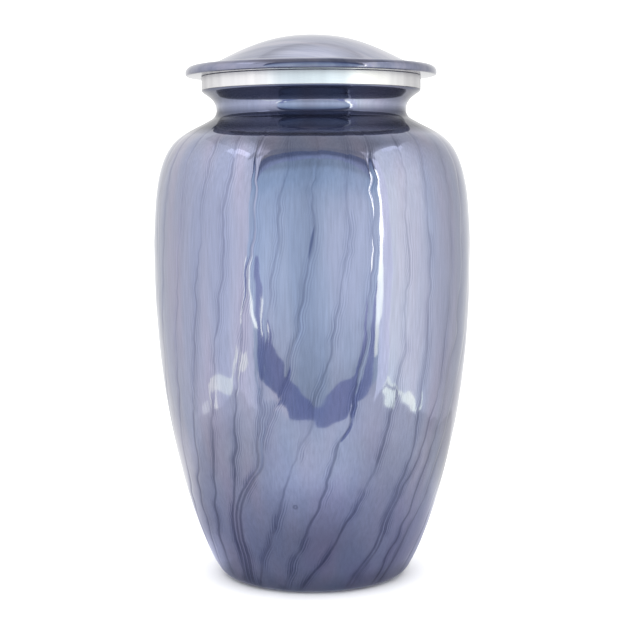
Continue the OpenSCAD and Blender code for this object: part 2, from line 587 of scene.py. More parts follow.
    def ramp(self, put: Put, level: Socket, stops: dict[float, str]) -> Socket:
        """Colour that runs through three tints.

        Args:
            put: adds a node to the tree.
            level: values that choose the tint.
            stops: tint at each of three levels, rising.

        Returns:
            The colour.
        """
        colour = put("ValToRGB", level)
        elements = colour.node.color_ramp.elements
        elements.new(0.5)
        for element, (position, tint) in zip(elements, stops.items()):
            element.position, element.color = position, linear(tint)
        return colour

    def tint(self, spot: Spot, grain: Socket) -> Socket:
        """Broad upright bands of tint, a tone for each strip, fine grain, plum clouds low down, and painted
        shade under the neck and the lip.

        Args:
            spot: what is known of the point.
            grain: noise of the upright grain.

        Returns:
            Colour of the coat.
        """
        put = spot.put
        bands = self.ramp(put, clouds(put, spot.place, self.band),
                          {0.36: self.slate, 0.5: self.lavender, 0.66: self.mauve})
        tone = put("TexWhiteNoise", named={"W": spot.number}, noise_dimensions="1D")
        tone = put("MapRange", tone, 0.0, 1.0, 0.97, 1.03)
        streak = put("MapRange", grain, 0.3, 0.7, 0.92, 1.08)
        shade = put("Math", tone, streak, operation="MULTIPLY")
        colour = put("VectorMath", bands, named={3: shade}, operation="SCALE")
        plum = put("MapRange", clouds(put, spot.place, self.plum_lump), 0.52, 0.68, 0.0, 0.2)
        plum = put("Math", plum, spot.low, operation="MULTIPLY")
        colour = put("Mix", named={0: plum, 6: colour, 7: linear(self.plum)}, out=2, data_type="RGBA")
        # Painted shade under the neck and the lip: it darkens the colour there.
        neck_shade = self.neck_and_lip_shade(put, spot.place)
        return put("Mix", named={0: neck_shade, 6: colour, 7: linear(self.painted_shade_tint)}, out=2, data_type="RGBA",
                   blend_type="MULTIPLY")

    def neck_and_lip_shade(self, put: Put, place: Socket) -> Socket:
        """Painted shade: a darker coat on the slope under the neck and under the lip.

        Args:
            put: adds a node to the tree.
            place: object coordinates.

        Returns:
            1 where the shade is painted, 0 elsewhere.
        """
        height = put("SeparateXYZ", place, out="Z")
        slope = put("MapRange", height, *self.slope_z)
        slope_end = put("MapRange", height, *self.slope_end_z)
        lip = put("MapRange", height, *self.lip_z, 0.0, self.lip_shade)
        lip_end = put("MapRange", height, *self.lip_end_z)
        return put("Math", put("Math", slope, slope_end, operation="MULTIPLY"),
                   put("Math", lip, lip_end, operation="MULTIPLY"), operation="MAXIMUM")

    def swept(self, put: Put, place: Socket) -> tuple[Socket, Socket]:
        """The lid's coat: it was drawn across, and what the eye gets is long pale streaks.

        Args:
            put: adds a node to the tree.
            place: object coordinates.

        Returns:
            Colour and normal.
        """
        across = put("Mapping", place, named={"Rotation": (0, 0, math.radians(self.sweep_angle)),
                                              "Scale": self.swept_band}, vector_type="TEXTURE")
        wave = put("TexNoise", named={"Vector": across, "Scale": 1.0, "Detail": 3.0, "Distortion": 0.5})
        fine = put("TexNoise", named={"Vector": across, "Scale": 6.0, "Detail": 2.0})
        broad = put("Math", wave, 0.75, operation="MULTIPLY")
        streak = put("Math", fine, 0.25, broad, operation="MULTIPLY_ADD")
        colour = self.ramp(put, streak, {0.36: self.trough, 0.5: self.sweep, 0.62: self.ridge})
        # Painted shade on the lid's edge: its colour is darkened there.
        height = put("SeparateXYZ", place, out="Z")
        edge = put("MapRange", height, *self.lid_edge_z, 0.0, self.lid_edge_shade)
        colour = put("Mix", named={0: edge, 6: colour, 7: linear(self.painted_shade_tint)}, out=2, data_type="RGBA",
                     blend_type="MULTIPLY")
        return colour, put("Bump", named={"Strength": 0.2, "Distance": 0.05 * MM, "Height": fine})


@dataclass(frozen=True)
class BareAluminium:
    """Bare turned aluminium: bright satin metal with the fine lines of the lathe round it."""

    bright: str = "#c6c5c6"
    dull: str = "#b9b8ba"
    roughness: float = 0.36
    spread: float = 0.03
    # Lathe lines are really about 0.1 mm apart; they are drawn coarser, so that they show.
    line: tuple[float, float, float] = (80 * MM, 80 * MM, 0.35 * MM)
    patch: tuple[float, float, float] = (7 * MM, 7 * MM, 110 * MM)

    def material(self) -> bpy.types.Material:
        """The band's finish.

        Returns:
            The material.
        """
        # Satin metal: soft upright patches of light, crossed by hairlines that run round.
        material, put = new_material("bare_turned_aluminium")
        place = put("TexCoord", out="Object")
        lines = clouds(put, place, self.line, 2.0)
        patches = clouds(put, place, self.patch, 3.0)
        colour = put("Mix", named={0: put("MapRange", patches, *HALF_COVER), 6: linear(self.dull),
                                   7: linear(self.bright)}, out=2, data_type="RGBA")
        dullest, brightest = self.roughness + self.spread, self.roughness - self.spread
        rough = put("MapRange", patches, 0.3, 0.7, dullest, brightest)
        bump = put("Bump", named={"Strength": 0.3, "Distance": 0.03 * MM, "Height": lines})
        put("OutputMaterial", put("BsdfPrincipled", named={"Base Color": colour, "Metallic": 1.0,
                                                           "Roughness": rough, "Normal": bump}))
        return material


# ---------------------------------------------------------------- the veins


@dataclass(frozen=True)
class Vein:
    """One vein in front, in degrees to the right.

    It starts at an azimuth at the shoulder, and drifts by so much on its way to the foot, all the
    later the higher the power. The strip on its right leans by a slope, unless that is drawn.
    """

    start: float
    drift: float
    power: float
    lean: float | None = None


@dataclass(frozen=True)
class Wave:
    """Sideways wave of a vein, with its length and its reach in millimetres."""

    length: float
    reach: float


@dataclass(frozen=True)
class Join:
    """A vein that runs into another one below a height in millimetres."""

    vein: int
    other: int
    height: float


@dataclass(frozen=True)
class Veins:
    """Where the veins of the enamel run: given ones in front, and drawn ones behind."""

    front: tuple[Vein, ...] = (
        Vein(-51, -27, 1.8, 0.5), Vein(-40, -27, 1.8, -0.4), Vein(-29.5, -26, 1.7, 1.1),
        Vein(-19, -25, 1.6, -0.3), Vein(-8.5, -20, 1.1, 0.3), Vein(1.5, -50, 2.1, -0.4),
        Vein(12.5, -47, 2.3, 0.3), Vein(21, -40, 2.9, -0.9), Vein(34, -44, 4.2, 0.4),
        Vein(44, -27, 5.0, -0.3), Vein(57, -32, 3.0))
    behind: int = 22
    jitter: float = 1.6
    drift: float = -34.0
    drift_spread: tuple[float, float] = (0.85, 1.15)
    power: float = 2.1
    lean: float = 0.5
    top: float = 210 * MM
    waves: tuple[Wave, ...] = (Wave(42, 1.1), Wave(22, 0.6), Wave(12, 0.35), Wave(7, 0.12))
    wave_stretch: tuple[float, float] = (0.8, 1.25)
    sway: float = 1.1
    sway_length: float = 2.7
    calm: tuple[float, float] = (0.65, 0.45)
    calm_length: float = 4.1
    fade_up: tuple[float, float] = (226 * MM, 204 * MM)
    fade_down: tuple[float, float] = (2 * MM, 14 * MM)
    joins: tuple[Join, ...] = (Join(4, 3, 54), Join(5, 4, 80), Join(10, 9, 56),
                               Join(17, 16, 60), Join(24, 25, 44), Join(30, 29, 66))
    join_gap: float = 2.4 * MM
    join_run: tuple[float, float] = (18, -10)
    least_r: float = 30 * MM
    seed: int = 11

    @property
    def count(self) -> int:
        """Number of veins, and of the strips between them."""
        return len(self.front) + self.behind

    def shoulder(self) -> Array:
        """Azimuths at the shoulder: those in front as given, the rest spread evenly with a jitter.

        Returns:
            Azimuths in degrees, rising.
        """
        rng = np.random.default_rng(self.seed)
        first, last = self.front[0].start, self.front[-1].start
        even = last + (360 - (last - first)) * np.arange(1, self.behind + 1) / (self.behind + 1)
        even = even + rng.uniform(-self.jitter, self.jitter, self.behind)
        return np.concatenate([[vein.start for vein in self.front], even])

    def leans(self) -> Array:
        """Slope across each strip: given in front, and drawn between minus and plus the same behind.

        Returns:
            Rise to the right over width, for each strip.
        """
        rng = np.random.default_rng(self.seed + 2)
        given = [vein.lean for vein in self.front if vein.lean is not None]
        drawn = rng.uniform(-self.lean, self.lean, self.count - len(given))
        return np.radians(np.concatenate([given, drawn]))

    def azimuths(self, line: Array) -> Array:
        """Azimuth of each vein at each ring of a profile.

        Start plus drift, where the drift grows as a power of the share of the way down, plus
        sines of the height whose sideways reach is in millimetres and so is divided by the
        radius. Each sine's phase sways, and it grows and calms, as longer sines of the height. A
        vein that joins another passes over to a place just beside it.

        Args:
            line: profile of the outside, rings by 2, in metres.

        Returns:
            Radians, rings by veins.
        """
        rng = np.random.default_rng(self.seed + 1)
        z = line[:, 1]
        r = np.maximum(line[:, 0], self.least_r)
        down = np.clip(1 - z / self.top, 0, 1)
        drift = self.drift * rng.uniform(*self.drift_spread, self.behind)
        drift = np.concatenate([[vein.drift for vein in self.front], drift])
        power = [vein.power for vein in self.front] + [self.power] * self.behind
        path = np.radians(self.shoulder()[None, :] + drift * down[:, None] ** power)
        reach = (smooth(*self.fade_up, z) * smooth(*self.fade_down, z) * MM / r)[:, None]
        for wave in self.waves:
            angle = TURN * z[:, None] / (wave.length * MM)
            turn = rng.uniform(0, TURN, self.count)
            stretch = rng.uniform(*self.wave_stretch, self.count)
            sway = rng.uniform(0, TURN, self.count)
            phase = angle / stretch + turn + self.sway * np.sin(angle / self.sway_length + sway)
            turn = rng.uniform(0, TURN, self.count)
            calm = self.calm[0] + self.calm[1] * np.sin(angle / self.calm_length + turn)
            path = path + wave.reach * reach * calm * np.sin(phase)
        for join in self.joins:
            side = math.copysign(1, join.vein - join.other)
            beside = path[:, join.other] + side * self.join_gap / r
            share = smooth(*((join.height + run) * MM for run in self.join_run), z)
            path[:, join.vein] += share * (beside - path[:, join.vein])
        return path


# ---------------------------------------------------------------- the pieces


@dataclass(frozen=True)
class Piece:
    """One piece of the urn: a mesh that stands for a solid, and its finish."""

    node: ClassVar[Node]
    slot: ClassVar[Slot]
    crease: ClassVar[float] = 38.0  # degrees from which an edge stays sharp

    def shape(self) -> bpy.types.Object:
        """Make the mesh."""
        raise NotImplementedError

    def finish(self) -> bpy.types.Material:
        """Make the material."""
        raise NotImplementedError

    def build(self) -> bpy.types.Object:
        """Make the mesh, dress it, tie it to the urn and let it stand for its solid.

        Returns:
            The piece.
        """
        piece = self.shape()
        piece.data.shade_smooth()
        piece.data.set_sharp_from_angle(angle=math.radians(self.crease))
        piece.data.validate()
        piece.data.update()
        piece.data.materials.append(self.finish())
        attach(piece, ROOT)
        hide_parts(self.node.value)
        return piece


@dataclass(frozen=True)
class BodyShell(Piece):
    """The cast body: its true outline with the low relief of the enamel on it, and its hollow inside."""

    node: ClassVar[Node] = Node.BODY
    slot: ClassVar[Slot] = Slot.ENAMEL

    height: float = Node.BODY.top
    belly_r: float = Node.BODY.radius
    belly_z: float = 157.6 * MM
    wall: float = 2.8 * MM
    foot_r: float = 40 * MM
    foot_round: float = 9 * MM
    foot_flare: float = 32.0
    foot_recess: float = 1.2 * MM
    foot_ring: float = 7 * MM
    neck_r: float = 46.5 * MM
    neck_z: float = 229.6 * MM
    lip_r: float = Node.RING.radius
    throat_round: float = 5 * MM
    shoulder_slope: float = 60.0
    flare_round: float = 7.7 * MM
    flare_slope: float = 49.0
    heel_fullness: float = 0.114
    belly_fullness: float = 0.542
    shoulder_fullness: float = 0.886
    slope_fullness: float = 0.728

    columns_in_strip: int = 12
    crowding: float = 0.6
    curve_points: int = 400
    heel_rings: int = 9
    side_rings: int = 150
    throat_rings: int = 10
    flare_rings: int = 9
    rim_rings: int = 6
    hollow_rings: int = 16
    floor_gap: float = 0.5 * MM
    bore_gap: float = 2 * MM

    # Relief of the enamel: the pillow is a share of the strip's width.
    pillow: float = 0.002
    groove: float = 0.05 * MM
    groove_width: float = 0.7 * MM
    strip_wave: float = 0.05 * MM
    strip_lengths: tuple[float, ...] = (64 * MM, 41 * MM, 26 * MM)
    ripple: float = 0.018 * MM
    ripple_lengths: tuple[float, ...] = (17 * MM, 9 * MM)
    swell: float = 0.16 * MM
    swells_round: tuple[int, ...] = (3, 5, 8, 11, 14, 19)
    swell_lengths: tuple[float, ...] = (170 * MM, 90 * MM, 55 * MM)
    fade_up: tuple[float, float] = (228 * MM, 212 * MM)
    fade_down: tuple[float, float] = (1 * MM, 12 * MM)
    seed: int = 5
    veins: Veins = Veins()

    @property
    def hub_r(self) -> float:
        """Radius of the innermost ring, on the floor and under the foot."""
        return self.foot_r / 3

    def finish(self) -> bpy.types.Material:
        """Pearl enamel that ran down."""
        return PearlEnamel().material(Coat.RUN_DOWN)

    def lower_side(self) -> tuple[Array, Array]:
        """Heel arc and the curve from it to the belly.

        Returns:
            The two lines.
        """
        heel = arc((self.foot_r, self.foot_round), self.foot_round, -90, -self.foot_flare, self.heel_rings)
        lean = math.radians(self.foot_flare)
        span = self.belly_z - heel[-1, 1]
        widest = np.array([self.belly_r, self.belly_z])
        start = heel[-1] + self.heel_fullness * span * np.array([math.sin(lean), math.cos(lean)])
        end = widest - [0, self.belly_fullness * span]
        return heel, cubic(heel[-1], start, end, widest, self.curve_points)

    def upper_side(self) -> tuple[Array, Array, Array]:
        """Curve from the belly to the throat, the throat's arc, and the flare up to the lip.

        Returns:
            The three lines.
        """
        slope, flare = math.radians(self.shoulder_slope), math.radians(self.flare_slope)
        throat = arc((self.neck_r + self.throat_round, self.neck_z), self.throat_round,
                     180 + self.shoulder_slope, 180, self.throat_rings)
        widest, end = np.array([self.belly_r, self.belly_z]), throat[0]
        inwards = np.array([math.sin(slope), -math.cos(slope)])
        run_in = self.slope_fullness * (self.belly_r - end[0]) * inwards
        run_out = [0, self.shoulder_fullness * (end[1] - self.belly_z)]
        side = cubic(widest, widest + run_out, end + run_in, end, self.curve_points)
        hollow = arc((self.neck_r + self.flare_round, self.neck_z), self.flare_round, 180,
                     180 - self.flare_slope, self.flare_rings)
        lip = np.array([self.lip_r, self.height])
        rise = lip - hollow[-1]
        out = rise[0] / 2 * np.array([1, 1 / math.tan(flare)])
        rim = cubic(hollow[-1], hollow[-1] + out, lip - [0, rise[1] / 4], lip, self.rim_rings)
        return side, throat, joined(hollow, rim)

    def outside(self) -> Array:
        """Profile from the foot's inner edge, round the heel, up the side and out to the lip.

        Returns:
            Rings by 2, in metres.
        """
        heel, lower = self.lower_side()
        side, throat, flare = self.upper_side()
        foot = np.array([[self.foot_r - self.foot_ring, 0], [self.foot_r, 0]])
        return joined(foot, heel, evenly(joined(lower, side), self.side_rings), throat, flare)

    def inside(self) -> Array:
        """Profile down the neck's bore, round the hollow and across the floor.

        Returns:
            Rings by 2, in metres.
        """
        heel, lower = self.lower_side()
        side, _, _ = self.upper_side()
        skin = joined(heel, evenly(joined(lower, side), self.hollow_rings))
        hollow = (skin - self.wall * outward(skin))[::-1]
        floor, bore_r = self.foot_recess + self.wall, self.neck_r - self.wall
        above, below = hollow[:, 1] > floor + self.floor_gap, hollow[:, 1] < self.neck_z - self.bore_gap
        hollow = hollow[above & below]
        bore = np.array([[bore_r, self.height], [bore_r, self.neck_z]])
        return np.concatenate([bore, hollow, [[self.foot_r, floor], [self.hub_r, floor]]])

    def relief(self, line: Array, share: Array, strip: Array, width: Array, azimuth: Array) -> Array:
        """Height of the enamel above the smooth outline.

        Between two veins the coat stands up as a pillow, four times share times one minus share,
        and each strip's pillow swells and sinks down its length as a sum of sines. A vein is a
        groove shaped as a bell curve of the distance to it. Each strip also leans a little to one
        side, evenly but for its two margins, where it comes back to the outline. A broad swell of
        plane waves, whole numbers of them round the body, runs over everything.

        Args:
            line: profile, rings by 2.
            share: place across the strip, 0 to 1, columns.
            strip: strip number, columns.
            width: strip's width, rings by columns, in metres.
            azimuth: rings by columns, in radians.

        Returns:
            Metres along the normal, rings by columns.
        """
        rng = np.random.default_rng(self.seed)
        count = self.veins.count
        z = line[:, 1][:, None]
        from_middle = np.abs(2 * share - 1)
        plateau = 1 - from_middle ** 4
        height = self.pillow * width * 4 * share * (1 - share)
        height = height + self.veins.leans()[strip] * width * (share - 0.5) * (1 - from_middle ** 12)
        for length in self.strip_lengths:
            turn = rng.uniform(0, TURN, count)[strip]
            size = self.strip_wave * rng.uniform(0.4, 1.0, count)[strip]
            tilt = rng.uniform(-0.5, 0.5, count)[strip] * np.sin(TURN * share)
            height = height + size * (plateau + tilt) * np.sin(TURN * z / length + turn)
        for length in self.ripple_lengths:
            turn = rng.uniform(0, TURN, count)[strip]
            size = self.ripple * np.sin(math.pi * (share - 0.5))
            height = height + size * plateau * np.sin(TURN * z / length + turn)
        distance = width * np.minimum(share, 1 - share)
        height = height - self.groove * np.exp(-(distance / self.groove_width) ** 2)
        for around in self.swells_round:
            for length in self.swell_lengths:
                turn, size = rng.uniform(0, TURN), self.swell * rng.normal()
                fall = math.hypot(around, 0.4 / length)
                height = height + size / fall * np.sin(around * azimuth + TURN * z / length + turn)
        return height * smooth(*self.fade_up, z) * smooth(*self.fade_down, z)

    def shape(self) -> bpy.types.Object:
        """Make the shell: columns follow the veins, so that each groove lies on an edge of the mesh.

        Columns crowd towards the veins: their share of the strip is part even and part a half
        cosine. The texture maps hold, in millimetres, the distance from the strip's left vein and
        the way along the profile, and the strip's width with its number.

        Returns:
            The body.
        """
        line, hollow = self.outside(), self.inside()
        paths = self.veins.azimuths(line)
        paths = np.concatenate([paths, paths[:, :1] + TURN], axis=1)
        step = np.arange(self.columns_in_strip) / self.columns_in_strip
        crowd = (1 - self.crowding) * step + self.crowding * (1 - np.cos(np.pi * step)) / 2
        share = np.tile(crowd, self.veins.count)
        strip = np.repeat(np.arange(self.veins.count), self.columns_in_strip)
        turn = paths[:, strip + 1] - paths[:, strip]
        azimuth = paths[:, strip] + turn * share
        width = turn * line[:, 0][:, None]
        lift = self.relief(line, share, strip, width, azimuth)
        face = line[:, None, :] + lift[..., None] * outward(line)[:, None, :]
        recess = np.array([[self.hub_r, self.foot_recess],
                           [self.foot_r - self.foot_ring, self.foot_recess]])
        grid = np.concatenate([turned(recess, azimuth[0]), turned(face, azimuth),
                               turned(hollow, azimuth[-1])])
        width = np.concatenate([np.repeat(width[:1], len(recess), axis=0), width,
                                np.repeat(width[-1:], len(hollow), axis=0)])
        next_share = np.append(share[1:], 1.0)
        next_share[self.columns_in_strip - 1::self.columns_in_strip] = 1.0
        along = np.broadcast_to(way_along(grid[:, 0])[:, None], width.shape)
        span = np.stack([width / MM, np.broadcast_to(strip, width.shape)], axis=-1)
        strips = tuple(np.stack([width * at, along], axis=-1) / MM for at in (share, next_share))
        return closed_shell("urn_body", grid, {"strip": strips, "span": (span, span)})


@dataclass(frozen=True)
class RingShell(Piece):
    """The bare band on the lip, with its spigot down in the neck."""

    node: ClassVar[Node] = Node.RING
    slot: ClassVar[Slot] = Slot.METAL

    foot: float = Node.RING.foot
    seat: float = Node.BODY.top
    top: float = Node.RING.top
    outer_r: float = Node.RING.radius
    spigot_r: float = 43.4 * MM
    bore_r: float = 39.2 * MM
    edge: float = 0.45 * MM
    edge_rings: int = 6
    columns: int = 288

    def finish(self) -> bpy.types.Material:
        """Bare turned metal."""
        return BareAluminium().material()

    def outline(self) -> Array:
        """Outline, anticlockwise with the metal on its left, with its two outer edges rounded.

        Returns:
            Rings by 2, the last of which is joined to the first.
        """
        inner = self.outer_r - self.edge
        lower = arc((inner, self.seat + self.edge), self.edge, -90, 0, self.edge_rings)
        upper = arc((inner, self.top - self.edge), self.edge, 0, 90, self.edge_rings)
        start = np.array([[self.bore_r, self.foot], [self.spigot_r, self.foot],
                          [self.spigot_r, self.seat]])
        return joined(start, lower, upper, np.array([[self.bore_r, self.top]]))

    def shape(self) -> bpy.types.Object:
        """Turn the outline about the axis into a closed ring.

        Returns:
            The ring.
        """
        grid = turned(self.outline(), around_axis(self.columns))
        rings = len(grid)
        faces = quads(rings, self.columns, np.roll(np.arange(rings), -1))
        return new_object("urn_rim_ring", grid.reshape(-1, 3), faces.tolist())


@dataclass(frozen=True)
class LidShell(Piece):
    """The lid: dome, rounded flange and the hollow plug below it."""

    node: ClassVar[Node] = Node.LID
    slot: ClassVar[Slot] = Slot.ENAMEL

    foot: float = Node.LID.foot
    seat: float = Node.RING.top
    crown: float = Node.LID.top
    flange_r: float = Node.LID.radius
    flange_t: float = 4.8 * MM
    flange_round: float = 3.4 * MM
    under_round: float = 1.1 * MM
    shelf: float = 10.8 * MM
    dome_slope: float = 27.0
    crown_fullness: float = 0.42
    skirt_fullness: float = 0.34
    fillet: float = 6 * MM
    wall: float = 2.8 * MM
    plug_r: float = 38.8 * MM
    plug_wall: float = 3 * MM
    plug_bevel: float = 1 * MM
    plug_step: float = 0.4 * MM
    crown_gap: float = 2 * MM
    under_rings: int = 7
    round_rings: int = 12
    fillet_rings: int = 9
    curve_points: int = 200
    dome_rings: int = 46
    hollow_rings: int = 14
    columns: int = 288

    # Slight unevenness of the coat on the dome.
    sag: float = 0.05 * MM
    sags_round: tuple[int, ...] = (2, 3, 5, 7)
    sag_length: float = 9 * MM
    sag_from: tuple[float, float] = (4 * MM, 20 * MM)
    seed: int = 3

    def finish(self) -> bpy.types.Material:
        """Pearl enamel swept across."""
        return PearlEnamel().material(Coat.SWEPT)

    def dome(self) -> Array:
        """Profile from the shelf up to near the crown.

        Returns:
            Rings by 2.
        """
        slope = math.radians(self.dome_slope)
        lean = np.array([-math.cos(slope), math.sin(slope)])
        setback = self.fillet * math.tan(slope / 2)
        toe = np.array([self.flange_r - self.shelf, self.seat + self.flange_t])
        start, crown = toe + setback * lean, np.array([0, self.crown])
        fillet = arc((toe[0] + setback, toe[1] + self.fillet), self.fillet, 270, 270 - self.dome_slope,
                     self.fillet_rings)
        side = cubic(start, start + self.skirt_fullness * toe[0] * lean,
                     crown + [self.crown_fullness * toe[0], 0], crown, self.curve_points)
        return joined(fillet, evenly(side, self.dome_rings)[:-1])

    def under(self) -> Array:
        """Profile of the hollow from its crown out to the plug's bore and down to the plug's foot.

        Returns:
            Rings by 2.
        """
        bore = self.plug_r - self.plug_wall
        skin = evenly(self.dome(), self.hollow_rings)
        under = (skin - self.wall * outward(skin))[::-1]
        under = under[(under[:, 0] < bore) & (under[:, 0] > self.crown_gap)]
        step = np.interp(bore, under[:, 0], under[:, 1]) - self.plug_step
        return np.concatenate([under, [[bore, step], [bore, self.foot]]])

    def unevenness(self, line: Array, azimuth: Array) -> Array:
        """Height of the coat on the dome: sines round the axis that turn with the distance from it.

        Args:
            line: profile, rings by 2.
            azimuth: columns.

        Returns:
            Metres along the normal, rings by columns.
        """
        rng = np.random.default_rng(self.seed)
        lift = np.zeros((len(line), len(azimuth)))
        for around in self.sags_round:
            turn, size = rng.uniform(0, TURN), rng.normal()
            lift = lift + size / around * np.sin(around * azimuth + turn + line[:, :1] / self.sag_length)
        return self.sag * lift * smooth(*self.sag_from, line[:, :1])

    def shape(self) -> bpy.types.Object:
        """Turn the outline about the axis, with a slight unevenness of the coat on the dome.

        Returns:
            The lid.
        """
        top = self.seat + self.flange_t
        plug = [[self.plug_r - self.plug_bevel, self.foot], [self.plug_r, self.foot + self.plug_bevel],
                [self.plug_r, self.seat]]
        below, above = self.under_round, self.flange_round
        lower = arc((self.flange_r - below, self.seat + below), below, -90, 0, self.under_rings)
        upper = arc((self.flange_r - above, top - above), above, 0, 90, self.round_rings + 1)
        dome = self.dome()
        line = np.concatenate([self.under(), plug, lower, upper, dome])
        azimuth = around_axis(self.columns)
        lift = self.unevenness(line, azimuth)
        lift[:-len(dome) - self.round_rings] = 0
        face = line[:, None, :] + lift[..., None] * outward(line)[:, None, :]
        return closed_shell("urn_lid", turned(face, azimuth), {})


# ---------------------------------------------------------------- the studio


@dataclass(frozen=True)
class Patch:
    """A lit patch on one plane of the tent, in metres.

    It runs from one place to another along the plane, between two heights, each a number or a
    function of the share of that way. On the table, along is x and the heights are y.
    """

    name: str
    wall: Wall
    along: tuple[float, float]
    low: Edge
    high: Edge
    light: Light
    off: float = 1 * MM
    steps: int = 8


@dataclass(frozen=True)
class LightTent:
    """Soft white tent round the urn, open at the front, which only its gloss sees.

    Lengths are in metres, and light is in multiples of full white.
    """

    side: float = 0.28
    back: float = 0.25
    front: float = -0.213
    table_edge: float = -0.253
    roof: float = 0.50
    opening_left: float = -0.162
    opening_right: float = 0.2
    lintel: float = 0.415
    spring: float = 0.28
    corner: float = 2.4
    hem: float = 0.08
    hem_overlap: float = 0.012
    hem_thinning: float = 0.15
    strip: float = 0.042
    strip_foot: float = 0.06
    strip_h: float = 0.26
    room_y: float = -0.95
    room_w: float = 3.2
    room_foot: float = -0.5
    room_h: float = 2.2
    wall_light: float = 1.8
    fine: int = 60

    @property
    def middle(self) -> float:
        """Middle of the opening."""
        return (self.opening_left + self.opening_right) / 2

    @property
    def half(self) -> float:
        """Half the opening's width."""
        return (self.opening_right - self.opening_left) / 2

    def cloth(self) -> bpy.types.Material:
        """White cloth lit from behind: an even glow, as bright as its colour attribute says.

        Returns:
            The material, which all the sheets share.
        """
        known = bpy.data.materials.get("lit_tent_cloth")
        if known:
            return known
        material, put = new_material("lit_tent_cloth")
        glow = put("Attribute", out="Color", attribute_name="glow")
        put("OutputMaterial", put("Emission", glow, 1.0))
        return material

    def sheet(self, name: str, shape: Callable[[Array, Array], tuple], light: Light,
              steps: int = 24) -> None:
        """Make one glowing sheet that the camera doesn't see.

        Args:
            name: name of the sheet.
            shape: gives x, y and z from two parameters that run from 0 to 1.
            light: light in all colours or in each, or a function of the points, n by 3, that gives it.
            steps: squares along each edge.
        """
        u, v = np.meshgrid(np.linspace(0, 1, steps + 1), np.linspace(0, 1, steps + 1), indexing="ij")
        points = np.stack([part + 0 * u for part in shape(u, v)], axis=-1).reshape(-1, 3)
        i, j = np.meshgrid(np.arange(steps), np.arange(steps), indexing="ij")
        first, row = (i * (steps + 1) + j).ravel(), steps + 1
        faces = np.stack([first, first + row, first + row + 1, first + 1], axis=1)
        panel = new_object(name, points, faces.tolist())
        glow = np.ones((len(points), 4))
        glow[:, :3] = light(points) if callable(light) else light
        layer = panel.data.color_attributes.new("glow", "FLOAT_COLOR", "POINT")
        layer.data.foreach_set("color", glow.ravel())
        panel.data.materials.append(self.cloth())
        panel.visible_camera = False
        panel.visible_diffuse = False
        panel.visible_shadow = False
        panel.visible_transmission = False

    def on_wall(self, patch: Patch, u: Array, v: Array) -> tuple:
        """Place on a patch: even along its plane, and from its lower edge to its upper one.

        Args:
            patch: the patch.
            u: share of the way along it.
            v: share of the way up.

        Returns:
            x, y and z.
        """
        low, high = (edge(u) if callable(edge) else edge for edge in (patch.low, patch.high))
        start, end = patch.along
        along, up = start + (end - start) * u, low + (high - low) * v
        return {
            Wall.LEFT: (patch.off - self.side, along, up),
            Wall.RIGHT: (self.side - patch.off, along, up),
            Wall.FRONT: (along, self.front + patch.off, up),
            Wall.EDGE: (along, self.table_edge + patch.off, up),
            Wall.TABLE: (along, up, patch.off),
        }[patch.wall]

    # Light of each part of the tent.

    def front_to_back(self, y: Array) -> Array:
        """Light of the side walls at a depth: it falls off towards the back."""
        return 1.1 - 0.46 * smooth(-0.2, 0.22, y)

    def side_light(self, points: Array) -> Array:
        """Side walls: dimmer towards the back, brighter high up on the left and by the opening on the right.

        Args:
            points: places on it, n by 3.

        Returns:
            Light in each colour, n by 3.
        """
        x, y, z = points.T
        left, right = x < 0, x > 0
        warm = right * smooth(0.05, self.front, y) * (1 - 0.5 * smooth(0.25, 0.36, z))
        level = self.front_to_back(y) + 0.12 * left * smooth(0.18, 0.36, z)
        level = level + 0.3 * warm - 0.09 * right * smooth(-0.1, 0.1, y)
        return (self.wall_light * level)[:, None] * (1 + warm[:, None] * [0.0, 0.03, -0.07])

    def strip_light(self, points: Array) -> Array:
        """Bright strip at the right of the opening: dimmer low down, where the cloth is doubled."""
        level = 3.2 + 1.2 * smooth(0.07, 0.1, points[:, 2]) + 3.6 * smooth(0.12, 0.2, points[:, 2])
        return level[:, None] * [1.0, 1.0, 0.78]

    def flap_light(self, points: Array) -> Array:
        """Flaps in front: bright, most of all on the right, and dim in the corners over the opening.

        Args:
            points: places on it, n by 3.

        Returns:
            Light in each colour, n by 3.
        """
        x, _, z = points.T
        level = 1.22 + 0.12 * np.sign(x)
        over = smooth(self.opening_left - 2 * MM, self.opening_left + 2 * MM, x)
        over = over * smooth(self.opening_right + 16 * MM, self.opening_right + 12 * MM, x)
        over = over * smooth(self.spring - 2 * MM, self.spring + 2 * MM, z)
        return (self.wall_light * level * (1 - 0.72 * over))[:, None] * np.ones(3)

    def hem_light(self, points: Array) -> Array:
        """Hem over the opening: navy above, paler below.

        Args:
            points: places on it, n by 3.

        Returns:
            Light in each colour, n by 3.
        """
        across = np.clip((points[:, 0] - self.middle) / self.half, -1, 1)
        below = smooth(0.03, 0.07, self.arch_z(across) - points[:, 2])[:, None]
        return (1 - below) * [0.24, 0.31, 0.48] + below * [0.75, 0.88, 1.15]

    def edging_light(self, points: Array) -> Array:
        """Dark slate cloth along the table's edge, paler where it climbs.

        Args:
            points: places on it, n by 3.

        Returns:
            Light in each colour, n by 3.
        """
        x, _, z = points.T
        paler = smooth(0.05, 0.1, z) + (x > 0) * (0.2 + 0.4 * smooth(0.03, 0.06, z))
        return np.array([0.5, 0.6, 0.95]) + paler[:, None] * [0.42, 0.4, 0.42]

    def back_light(self, points: Array) -> Array:
        """Back wall: dimmer than the sides, and a little brighter high up at the left and in the middle.

        Args:
            points: places on it, n by 3.

        Returns:
            Light in each colour, n by 3.
        """
        x, _, z = points.T
        level = 0.57 + 0.15 * smooth(-0.1, -0.25, x) * smooth(0.25, 0.4, z)
        level = level + 0.05 * smooth(0.2, 0.08, np.abs(x)) * smooth(0.4, 0.46, z)
        return (self.wall_light * level)[:, None] * np.ones(3)

